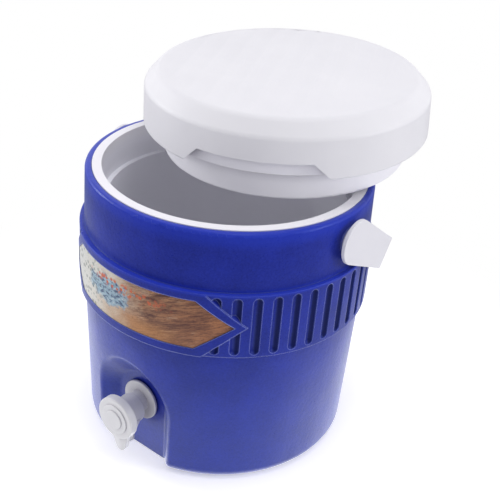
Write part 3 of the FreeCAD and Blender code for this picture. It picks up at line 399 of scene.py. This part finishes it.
blueSetup = {
    "base": (0.008, 0.016, 0.235),
    "pale": (0.013, 0.026, 0.358),
    "baseAt": 0.36,              # of the mottling, from 0 to 1
    "paleAt": 0.64,
    "cloud": {"scale": 30, "detail": 4, "roughness": 0.6},
    "speckle": {"scale": 620, "detail": 2, "roughness": 0.6},
    "cloudShare": 0.5,
    "speckleShare": 0.5,
    "lip": 0.0016,               # rounding of the shell's edges
    # painted highlight: the shell's rounded edges are blended towards a paler blue, as if they
    # caught the light
    "edge": (0.290, 0.350, 0.840),
    "edgeHighlight": 0.95,
    "highlightLow": 0.6,              # least painted highlight along an edge, beside its most of 1
    # colour of the painted glow on the thin top lip and the band's upper ledge
    "lipGlowColour": (0.012, 0.034, 0.500),
    "lipFrom": 0.2360,           # heights, where a painted glow lightens the thin top lip
    "lipTo": 0.2480,
    "lipGlow": 0.62,
    "ledgeHalf": 0.0035,
    "ledgeGlow": 0.8,
    "shadeReach": 0.0022,           # how far the painted shade of an inner corner reaches
    "cornerShadeStrength": 0.45,
    "bandLow": 0.1405,
    "bandHigh": 0.2005,
    "slotFloor": 0.1285,         # metres from the axis
    "slotMouth": 0.1312,
    "slotFrom": 0.02,            # depth in a slot where its painted shade starts, and is full
    "slotTo": 0.40,
    "slotLight": 0.92,           # the side of a slot taken as turned to the light, painted lighter
    "slotShade": 0.31,           # and the side taken as turned away, painted darker
    "lightTurn": -0.30,
    "shadeTurn": 0.38,
    "slotRough": 0.45,           # added to the roughness in the slots
    "roughLow": 0.26,
    "roughHigh": 0.40,
    "specular": 0.27,
    "specularTint": (0.70, 0.88, 1.0, 1),
    "sheen": 0.20,
    "sheenRough": 0.45,
    "sheenTint": (0.55, 0.70, 1.0, 1),
    "waves": {"scale": 24, "detail": 1, "roughness": 0.4},
    "orangePeel": {"scale": 260, "detail": 2, "roughness": 0.5},
    "grain": {"scale": 850, "detail": 3, "roughness": 0.65},
    # strength and height in metres
    "bumps": {"waves": (0.5, 0.0012), "orangePeel": (0.4, 0.0004), "grain": (0.3, 0.00018)},
}


# painted light and shade in the slots: lighter on one side of their round floor, darker on the
# other
def paintedSlotShade(tree, x, y, z, setup):
    reach = maths(tree, "SQRT", plus(tree, times(tree, x, x), times(tree, y, y)))
    depth = spread(tree, reach, 1, 0, setup["slotFloor"], setup["slotMouth"])
    inBand = times(tree, maths(tree, "GREATER_THAN", z, setup["bandLow"]),
                   maths(tree, "LESS_THAN", z, setup["bandHigh"]))
    inSlot = spread(tree, times(tree, depth, inBand), 0, 1, setup["slotFrom"], setup["slotTo"])
    sideways = joinVector(tree, y, times(tree, x, -1))
    turned = maths(tree, "DIVIDE", dot(tree, sideways, surfaceNormal(tree)), reach)
    side = spread(tree, turned, setup["slotLight"], setup["slotShade"],
                  setup["lightTurn"], setup["shadeTurn"], True)
    return plus(tree, 1, times(tree, inSlot, minus(tree, side, 1)))


def blueShellFinish(setup):
    material, tree, shader, spots = startMaterial("blueShell")
    cloudy = noise(tree, spots, **setup["cloud"])
    speckle = noise(tree, spots, **setup["speckle"])
    mottled = plus(tree, times(tree, cloudy, setup["cloudShare"]),
                   times(tree, speckle, setup["speckleShare"]))
    colour = twoTone(tree, mottled, setup["base"], setup["pale"],
                     setup["baseAt"], setup["paleAt"])
    rounded = roundedNormal(tree, setup["lip"])
    # painted highlight along the edges, patchy with the mottling
    patchy = times(tree, edgeMask(tree, rounded), spread(tree, cloudy, setup["highlightLow"], 1.0))
    colour = blendColours(tree, times(tree, patchy, setup["edgeHighlight"]), colour, setup["edge"])
    x, y, z = splitVector(tree, spots)
    # painted light: the thin top lip and the band's upper ledge are blended towards a brighter
    # blue, as if lit through
    ledge = hump(tree, z, setup["bandHigh"], setup["ledgeHalf"])
    paintedGlow = plus(tree, spread(tree, z, 0, setup["lipGlow"], setup["lipFrom"], setup["lipTo"], True),
               times(tree, ledge, setup["ledgeGlow"]), True)
    colour = blendColours(tree, paintedGlow, colour, setup["lipGlowColour"])
    # painted shade in inner corners, multiplied with the painted shade of the slots
    cornerShadow = times(tree, paintedCornerShade(tree, setup["shadeReach"]), setup["cornerShadeStrength"])
    shade = times(tree, paintedSlotShade(tree, x, y, z, setup), minus(tree, 1, cornerShadow))
    tree.links.new(darken(tree, colour, shade), shader.inputs["Base Color"])
    heights = {name: noise(tree, spots, **setup[name]) for name in setup["bumps"]}
    roughness = plus(tree, spread(tree, heights["grain"], setup["roughLow"], setup["roughHigh"]),
                     spread(tree, shade, setup["slotRough"], 0))
    tree.links.new(roughness, shader.inputs["Roughness"])
    shader.inputs["Specular IOR Level"].default_value = setup["specular"]
    shader.inputs["Specular Tint"].default_value = setup["specularTint"]
    shader.inputs["Sheen Weight"].default_value = setup["sheen"]
    shader.inputs["Sheen Roughness"].default_value = setup["sheenRough"]
    shader.inputs["Sheen Tint"].default_value = setup["sheenTint"]
    layers = [(height, *setup["bumps"][name]) for name, height in heights.items()]
    bump(tree, shader, layers, rounded)
    return material


# white mouldings and the rubber seals: what they share, then what is their own
mouldedSetup = {
    "cloudScale": 22,
    "cloud": {"detail": 3, "roughness": 0.55},
    "fine": {"scale": 900, "detail": 3, "roughness": 0.6},
    "fineHeight": 0.00012,
    "waves": {"scale": 60, "detail": 1, "roughness": 0.4},
    "waveBump": (0.15, 0.0006),
    "specular": 0.4,
    # strength of the painted shade in inner corners
    "cornerShadeStrength": 0.7,
}
whiteSetup = {
    "whiteCover": {
        "low": (0.765, 0.762, 0.785), "high": (0.790, 0.787, 0.808),
        "roughLow": 0.42, "roughHigh": 0.56, "grain": 0.25,
    },
    "whiteLiner": {
        "low": (0.870, 0.862, 0.895), "high": (0.895, 0.887, 0.915),
        "roughLow": 0.36, "roughHigh": 0.48, "grain": 0.20,
        # painted light: the liner is a lighter white below the rim, inside the jug
        "inside": (0.950, 0.948, 0.998), "insideFrom": 0.240, "insideTo": 0.249,
    },
    # the lid's plug: a lighter white than the cover, painted light for the shade under the lid
    "whitePlugLit": {
        "low": (0.930, 0.925, 0.965), "high": (0.945, 0.940, 0.980),
        "roughLow": 0.36, "roughHigh": 0.48, "grain": 0.20,
        # painted shade in the notch's inner corners
        "shadeReach": 0.011, "cornerShadeColour": (0.42, 0.41, 0.48),
    },
    "whiteHandle": {
        "low": (0.760, 0.757, 0.790), "high": (0.785, 0.782, 0.812),
        "roughLow": 0.38, "roughHigh": 0.50, "grain": 0.22,
    },
    "whiteFitting": {
        "low": (0.675, 0.675, 0.678), "high": (0.712, 0.712, 0.714), "cloudScale": 60,
        "roughLow": 0.30, "roughHigh": 0.42, "grain": 0.15,
        # painted shade in inner corners, such as the barrel between the knob and the flange
        "shadeReach": 0.014, "cornerShadeColour": (0.36, 0.345, 0.40),
    },
    "sealRubber": {
        "low": (0.52, 0.52, 0.50), "high": (0.60, 0.60, 0.58), "cloudScale": 90,
        "roughLow": 0.62, "roughHigh": 0.78, "grain": 0.5,
    },
}


def mouldedFinish(name, setup):
    material, tree, shader, spots = startMaterial(name)
    cloudy = noise(tree, spots, setup["cloudScale"], **setup["cloud"])
    colour = twoTone(tree, cloudy, setup["low"], setup["high"])
    # painted light inside the jug, below the rim
    if "inside" in setup:
        z = splitVector(tree, spots)[2]
        below = spread(tree, z, 1, 0, setup["insideFrom"], setup["insideTo"])
        colour = blendColours(tree, below, colour, setup["inside"])
    # painted shade: inner corners blended towards a darker violet
    if "shadeReach" in setup:
        cornerShadow = times(tree, paintedCornerShade(tree, setup["shadeReach"]), setup["cornerShadeStrength"])
        colour = blendColours(tree, cornerShadow, colour, setup["cornerShadeColour"])
    tree.links.new(colour, shader.inputs["Base Color"])
    fine = noise(tree, spots, **setup["fine"])
    roughness = spread(tree, fine, setup["roughLow"], setup["roughHigh"])
    tree.links.new(roughness, shader.inputs["Roughness"])
    shader.inputs["Specular IOR Level"].default_value = setup["specular"]
    waves = noise(tree, spots, **setup["waves"])
    bump(tree, shader, ((waves, *setup["waveBump"]),
                        (fine, setup["grain"], setup["fineHeight"])))
    return material


foamSetup = {
    "low": (0.70, 0.60, 0.34),
    "high": (0.80, 0.71, 0.46),
    "cloud": {"scale": 40, "detail": 4, "roughness": 0.6},
    "cellScale": 420,
    "rough": 0.9,
    "cellBump": (0.8, 0.0008),
    "cloudBump": (0.4, 0.001),
}


def foamFinish(setup):
    material, tree, shader, spots = startMaterial("rigidFoam")
    cells = addNode(tree, "ShaderNodeTexVoronoi")
    cells.inputs["Scale"].default_value = setup["cellScale"]
    tree.links.new(spots, cells.inputs["Vector"])
    cloudy = noise(tree, spots, **setup["cloud"])
    colour = twoTone(tree, cloudy, setup["low"], setup["high"])
    tree.links.new(colour, shader.inputs["Base Color"])
    shader.inputs["Roughness"].default_value = setup["rough"]
    bump(tree, shader, ((cells.outputs["Distance"], *setup["cellBump"]),
                        (cloudy, *setup["cloudBump"])))
    return material


steelSetup = {
    "low": (0.50, 0.50, 0.52),
    "high": (0.62, 0.62, 0.64),
    "brush": {"scale": 1200, "detail": 2, "roughness": 0.5},
    "roughLow": 0.28,
    "roughHigh": 0.42,
    "brushBump": (0.2, 0.0001),
}


def steelFinish(setup):
    material, tree, shader, spots = startMaterial("springSteel")
    brushed = noise(tree, spots, **setup["brush"])
    colour = twoTone(tree, brushed, setup["low"], setup["high"])
    tree.links.new(colour, shader.inputs["Base Color"])
    roughness = spread(tree, brushed, setup["roughLow"], setup["roughHigh"])
    tree.links.new(roughness, shader.inputs["Roughness"])
    shader.inputs["Metallic"].default_value = 1.0
    bump(tree, shader, ((brushed, *setup["brushBump"]),))
    return material


# the label: across goes from 0 at its left tip to 1 at its right one, up from 0 to 1
labelSetup = {
    "reach": radians(42.6),      # half of the label, seen from the jug's axis
    "length": 4.2,               # how much longer it is than high
    "ground": ((0.00, (0.64, 0.66, 0.62)), (0.32, (0.68, 0.67, 0.59)),
               (0.46, (0.60, 0.47, 0.34)), (0.60, (0.46, 0.24, 0.12)),
               (0.80, (0.38, 0.17, 0.08)), (1.00, (0.42, 0.17, 0.07))),
    "wash": {"alongScale": 3.0, "upScale": 3.0, "detail": 5},
    "washDrift": 0.30,           # how far the wash moves the ground's colours
    "lean": -0.10,
    "paper": {"alongScale": 40.0, "upScale": 40.0, "detail": 3, "offset": 30.0},
    "paperLow": 0.82,
    "paperHigh": 1.12,
    "shadeReach": 0.0014,
    "cornerShadeStrength": 0.6,
    "rough": 0.34,
    "specular": 0.30,
    "coat": 0.15,
    "coatRough": 0.15,
    "ripple": {"scale": 45, "detail": 1, "roughness": 0.4},
    "rippleBump": (0.2, 0.0006),
}
# places and widths along the label or up it are (middle, half) or (from, to)
duneSetup = {
    "hollow": (0.105, 0.040, 0.032),
    "crest": (0.62, 0.42, 0.27),
    "glow": (0.62, 0.28, 0.08),
    "strokes": {"alongScale": 2.4, "upScale": 17.0, "detail": 7, "offset": 3.0, "slant": -0.24},
    "broad": {"alongScale": 1.6, "upScale": 4.5, "detail": 4, "offset": 9.0, "slant": -0.30},
    "lines": {"alongScale": 3.2, "upScale": 34.0, "detail": 6, "offset": 14.0, "slant": -0.30},
    "start": (0.44, 0.66),
    "foot": (0.15, 0.60),
    "footDark": 0.45,
    "strokeRange": (0.36, 0.56),
    "strokeDark": 0.9,
    "broadRange": (0.42, 0.54),
    "broadDark": 0.7,
    "hollowDark": 0.80,
    "lineRange": (0.47, 0.045),
    "lineDark": 0.90,
    "crestRange": (0.58, 0.72),
    "crestLight": 0.6,
    "glowAcross": (0.62, 0.20),
    "glowUp": (0.12, 0.30),
    "glowLight": 0.5,
}
splashSetup = {
    "water": (0.25, 0.43, 0.55),
    "deepWater": (0.050, 0.085, 0.170),
    "foam": (0.62, 0.68, 0.66),
    "across": (0.40, 0.24),
    "up": (0.56, 0.46),
    "ragged": 1.5,
    "edge": (0.34, 0.50),
    "waterCover": 0.85,
    "ripples": {"alongScale": 10.0, "upScale": 15.0, "detail": 5, "offset": 21.0},
    "troughRange": (0.43, 0.50),
    "troughCover": 0.9,
    "foamRange": (0.57, 0.64),
    "foamCover": 0.7,
}
petalSetup = {
    "petal": (0.62, 0.13, 0.05),
    "petals": {"scale": 12.0, "size": 0.50, "offset": 4.0},
    "rowSlope": 0.15,
    "row": (0.84, 0.17),
    "across": (0.50, 0.30),
    "petalCover": 1.7,
    "leaf": (0.11, 0.14, 0.11),
    "leaves": {"scale": 9.0, "size": 0.36, "offset": 11.0},
    "leafEnd": (0.26, 0.44),
    "leafCover": 0.7,
}


def flatNoise(tree, along, up, alongScale, upScale, detail, offset=0.0, slant=0.0):
    leaning = plus(tree, up, times(tree, along, slant))
    spot = joinVector(tree, times(tree, along, alongScale), times(tree, leaning, upScale), offset)
    return noise(tree, spot, scale=1.0, detail=detail, roughness=0.6)


def scatter(tree, along, up, scale, size, offset, firm=0.7):
    dots = addNode(tree, "ShaderNodeTexVoronoi")
    dots.inputs["Scale"].default_value = scale
    tree.links.new(joinVector(tree, along, up, offset), dots.inputs["Vector"])
    return spread(tree, dots.outputs["Distance"], 1, 0, size * firm, size)


# long slanting strokes on the right, darker in the hollows
def paintDunes(tree, colour, across, along, up, setup):
    strokes = flatNoise(tree, along, up, **setup["strokes"])
    broad = flatNoise(tree, along, up, **setup["broad"])
    lines = flatNoise(tree, along, up, **setup["lines"])
    right = spread(tree, across, 0, 1, *setup["start"], True)
    upper = spread(tree, up, setup["footDark"], 1, *setup["foot"], True)
    strokeDark = spread(tree, strokes, 1, 0, *setup["strokeRange"])
    broadDark = spread(tree, broad, 1, 0, *setup["broadRange"])
    dark = plus(tree, times(tree, strokeDark, setup["strokeDark"]),
                times(tree, broadDark, setup["broadDark"]))
    dark = times(tree, times(tree, dark, right), upper)
    dark = times(tree, dark, setup["hollowDark"], True)
    colour = blendColours(tree, dark, colour, setup["hollow"])
    fine = times(tree, hump(tree, lines, *setup["lineRange"]), right)
    colour = blendColours(tree, times(tree, fine, setup["lineDark"]), colour, setup["hollow"])
    light = times(tree, spread(tree, strokes, 0, 1, *setup["crestRange"]), right)
    colour = blendColours(tree, times(tree, light, setup["crestLight"]), colour, setup["crest"])
    glow = times(tree, hump(tree, across, *setup["glowAcross"]), hump(tree, up, *setup["glowUp"]))
    return blendColours(tree, times(tree, glow, setup["glowLight"]), colour, setup["glow"])


# a splash of water left of the middle
def paintSplash(tree, colour, across, along, up, wash, setup):
    pool = times(tree, hump(tree, across, *setup["across"]), hump(tree, up, *setup["up"]))
    ragged = plus(tree, pool, times(tree, swing(tree, wash), setup["ragged"]))
    splash = spread(tree, ragged, 0, 1, *setup["edge"])
    colour = blendColours(tree, times(tree, splash, setup["waterCover"]), colour, setup["water"])
    ripples = flatNoise(tree, along, up, **setup["ripples"])
    trough = times(tree, spread(tree, ripples, 1, 0, *setup["troughRange"]), splash)
    trough = times(tree, trough, setup["troughCover"])
    colour = blendColours(tree, trough, colour, setup["deepWater"])
    foam = times(tree, spread(tree, ripples, 0, 1, *setup["foamRange"]), splash)
    return blendColours(tree, times(tree, foam, setup["foamCover"]), colour, setup["foam"])


# petals drift over the splash, and small leaves lie on the pale end
def paintPetals(tree, colour, across, along, up, setup):
    row = plus(tree, up, times(tree, across, setup["rowSlope"]))
    drift = times(tree, hump(tree, row, *setup["row"]), hump(tree, across, *setup["across"]))
    petals = times(tree, scatter(tree, along, up, **setup["petals"]), drift)
    petals = times(tree, petals, setup["petalCover"], True)
    colour = blendColours(tree, petals, colour, setup["petal"])
    left = spread(tree, across, 1, 0, *setup["leafEnd"], True)
    leaves = times(tree, scatter(tree, along, up, **setup["leaves"]), left)
    return blendColours(tree, times(tree, leaves, setup["leafCover"]), colour, setup["leaf"])


def labelFinish(setup):
    material, tree, shader, spots = startMaterial("printedLabel")
    x, y, z = splitVector(tree, spots)
    low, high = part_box("label_sheet")
    angle = maths(tree, "ARCTAN2", x, times(tree, y, -1))
    across = spread(tree, angle, 0, 1, -setup["reach"], setup["reach"])
    up = spread(tree, z, 0, 1, low[2], high[2])
    along = times(tree, across, setup["length"])
    wash = flatNoise(tree, along, up, **setup["wash"])
    drift = times(tree, swing(tree, wash), setup["washDrift"])
    lean = times(tree, swing(tree, up), setup["lean"])
    colour = ramp(tree, plus(tree, plus(tree, across, drift), lean), setup["ground"])
    colour = paintDunes(tree, colour, across, along, up, duneSetup)
    colour = paintSplash(tree, colour, across, along, up, wash, splashSetup)
    colour = paintPetals(tree, colour, across, along, up, petalSetup)
    paper = flatNoise(tree, along, up, **setup["paper"])
    # painted shade in inner corners, along the label's edge in its recess
    cornerShadow = times(tree, paintedCornerShade(tree, setup["shadeReach"]), setup["cornerShadeStrength"])
    shade = times(tree, spread(tree, paper, setup["paperLow"], setup["paperHigh"]),
                  minus(tree, 1, cornerShadow))
    tree.links.new(darken(tree, colour, shade), shader.inputs["Base Color"])
    shader.inputs["Roughness"].default_value = setup["rough"]
    shader.inputs["Specular IOR Level"].default_value = setup["specular"]
    shader.inputs["Coat Weight"].default_value = setup["coat"]
    shader.inputs["Coat Roughness"].default_value = setup["coatRough"]
    ripple = noise(tree, spots, **setup["ripple"])
    bump(tree, shader, ((ripple, *setup["rippleBump"]),))
    return material


finishes = {
    "blueShell": blueShellFinish(blueSetup),
    "rigidFoam": foamFinish(foamSetup),
    "springSteel": steelFinish(steelSetup),
    "printedLabel": labelFinish(labelSetup),
}
for finishName, finishValues in whiteSetup.items():
    finishes[finishName] = mouldedFinish(finishName, {**mouldedSetup, **finishValues})

finishOfSlot = {
    "blue_shell": "blueShell",
    "white_liner": "whiteLiner",
    "white_cover": "whiteCover",
    "white_handle": "whiteHandle",
    "white_fitting": "whiteFitting",
    "foam": "rigidFoam",
    "printed_label": "printedLabel",
    "seal_rubber": "sealRubber",
    "spring_steel": "springSteel",
}
finishOfNode = {"lid_pan": "whitePlugLit"}    # goes before its slot's finish; a lighter white than the cover, painted light for the shade under the lid
slotOfNode = {part["node"]: part["material_slot"] for part in frame["record"]["subparts"]}
for nodeName, node in frame["nodes"].items():
    finishName = finishOfNode.get(nodeName, finishOfSlot[slotOfNode[nodeName]])
    node.data.materials.clear()
    node.data.materials.append(finishes[finishName])
print("finishes made")


def pickOnly(piece):
    bpy.ops.object.select_all(action="DESELECT")
    piece.select_set(True)
    bpy.context.view_layer.objects.active = piece


copySetup = {
    "merge": 0.00002,
    "flatten": 0.6,              # degrees
    "smooth": 35,
}


def copyOfNode(name, nodeName):
    source = frame["nodes"][nodeName]
    piece = bpy.data.objects.new(name, source.data.copy())
    bpy.context.scene.collection.objects.link(piece)
    pickOnly(piece)
    bpy.ops.mesh.customdata_custom_splitnormals_clear()
    bpy.ops.object.mode_set(mode="EDIT")
    bpy.ops.mesh.select_all(action="SELECT")
    bpy.ops.mesh.remove_doubles(threshold=copySetup["merge"])
    bpy.ops.mesh.dissolve_limited(angle_limit=radians(copySetup["flatten"]), delimit={"NORMAL"})
    bpy.ops.object.mode_set(mode="OBJECT")
    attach(piece, source["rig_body"])
    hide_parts(nodeName)
    return piece


def softenEdges(piece, setup):
    pickOnly(piece)
    edge = piece.modifiers.new("edge", "BEVEL")
    edge.width = setup["edge"]
    edge.segments = setup.get("segments", 2)
    edge.limit_method = "ANGLE"
    edge.angle_limit = radians(setup.get("angle", 30))
    bpy.ops.object.modifier_apply(modifier=edge.name)
    even = piece.modifiers.new("even", "WEIGHTED_NORMAL")
    even.keep_sharp = True
    bpy.ops.object.shade_smooth_by_angle(angle=radians(copySetup["smooth"]))
    bpy.ops.object.modifier_apply(modifier=even.name)


softSetup = {
    "jug_shell": {"node": "outer_shell", "edge": 0.0005, "angle": 35},
    "jug_liner": {"node": "inner_liner", "edge": 0.0008},
    "carrying_bail": {"node": "handle_bail", "edge": 0.0018, "segments": 3},
    "tap_housing": {"node": "tap_body", "edge": 0.0005},
    "tap_turn_knob": {"node": "tap_knob", "edge": 0.0016, "segments": 4},
    "lid_plug": {"node": "lid_pan", "edge": 0.0006},
    "bush_right": {"node": "pivot_bush_right", "edge": 0.0005},
    "bush_left": {"node": "pivot_bush_left", "edge": 0.0005},
}
for pieceName, pieceSetup in softSetup.items():
    softenEdges(copyOfNode(pieceName, pieceSetup["node"]), pieceSetup)
print("edges softened")

# the lid's shell, with shallow grooves pressed into its top
lidSetup = {
    "node": "lid_cover",
    "heading": 115.2,            # degrees from +X, along the grooves
    "pitch": 0.0195,
    "groove": 0.0165,
    "shift": 0.0108,             # from the lid's middle to the groove of row 0
    "depth": 0.0005,
    "slope": 0.0075,             # width of a groove's side
    "discRadius": 0.1095,
    "runOut": 0.010,             # length of a groove's end, where its floor comes up
    "firstRow": -5,
    "lastRow": 4,
    "level": 0.9999,             # how straight up a face of the top looks
    "near": 0.0002,
    "edge": 0.0008,
    "segments": 3,
}


def facesWhere(piece, wanted):
    bpy.ops.object.mode_set(mode="OBJECT")
    for face in piece.data.polygons:
        face.select = wanted(face)
    for edge in piece.data.edges:
        edge.select = False
    bpy.ops.object.mode_set(mode="EDIT")


def topOf(piece):
    biggest = max(piece.data.polygons, key=lambda face: face.area * max(0, face.normal.z))
    return biggest.normal.copy(), biggest.center.copy()


def grooveLid(piece, setup):
    pickOnly(piece)
    normal, middle = topOf(piece)
    heading = Vector((cos(radians(setup["heading"])), sin(radians(setup["heading"])), 0))
    sideways = heading.cross(normal).normalized()
    forward = normal.cross(sideways)
    near = setup["near"]
    half = setup["groove"] / 2
    floorHalf = half - setup["slope"]

    def onTop(face):
        return (face.normal.dot(normal) > setup["level"]
                and abs((face.center - middle).dot(normal)) < near)

    for row in range(setup["firstRow"], setup["lastRow"] + 1):
        centre = row * setup["pitch"] + setup["shift"]
        for off in (-half, -floorHalf, floorHalf, half):
            facesWhere(piece, onTop)
            bpy.ops.mesh.bisect(plane_co=middle + sideways * (centre + off), plane_no=sideways)
        # across the groove near both ends, where its floor comes up again
        reach = sqrt(setup["discRadius"] ** 2 - (abs(centre) + half) ** 2) - setup["runOut"]
        for end in (-reach, reach):
            facesWhere(piece, lambda face: onTop(face)
                       and abs((face.center - middle).dot(sideways) - centre) < half)
            bpy.ops.mesh.bisect(plane_co=middle + forward * end, plane_no=forward)

    def onGrooveFloor(point):
        away = point - middle
        across = away.dot(sideways) - setup["shift"]
        off = abs(across - round(across / setup["pitch"]) * setup["pitch"])
        return (abs(away.dot(normal)) < near and abs(off - floorHalf) < near
                and away.length < setup["discRadius"] - setup["runOut"] / 4)

    bpy.ops.object.mode_set(mode="OBJECT")
    for point in piece.data.vertices:
        point.select = onGrooveFloor(point.co)
    for part in (*piece.data.edges, *piece.data.polygons):
        part.select = False
    bpy.context.tool_settings.mesh_select_mode = (True, False, False)
    bpy.ops.object.mode_set(mode="EDIT")
    bpy.ops.transform.translate(value=normal * -setup["depth"])
    bpy.ops.object.mode_set(mode="OBJECT")


lidShell = copyOfNode("lid_shell", lidSetup["node"])
grooveLid(lidShell, lidSetup)
softenEdges(lidShell, lidSetup)
print("lid grooved")
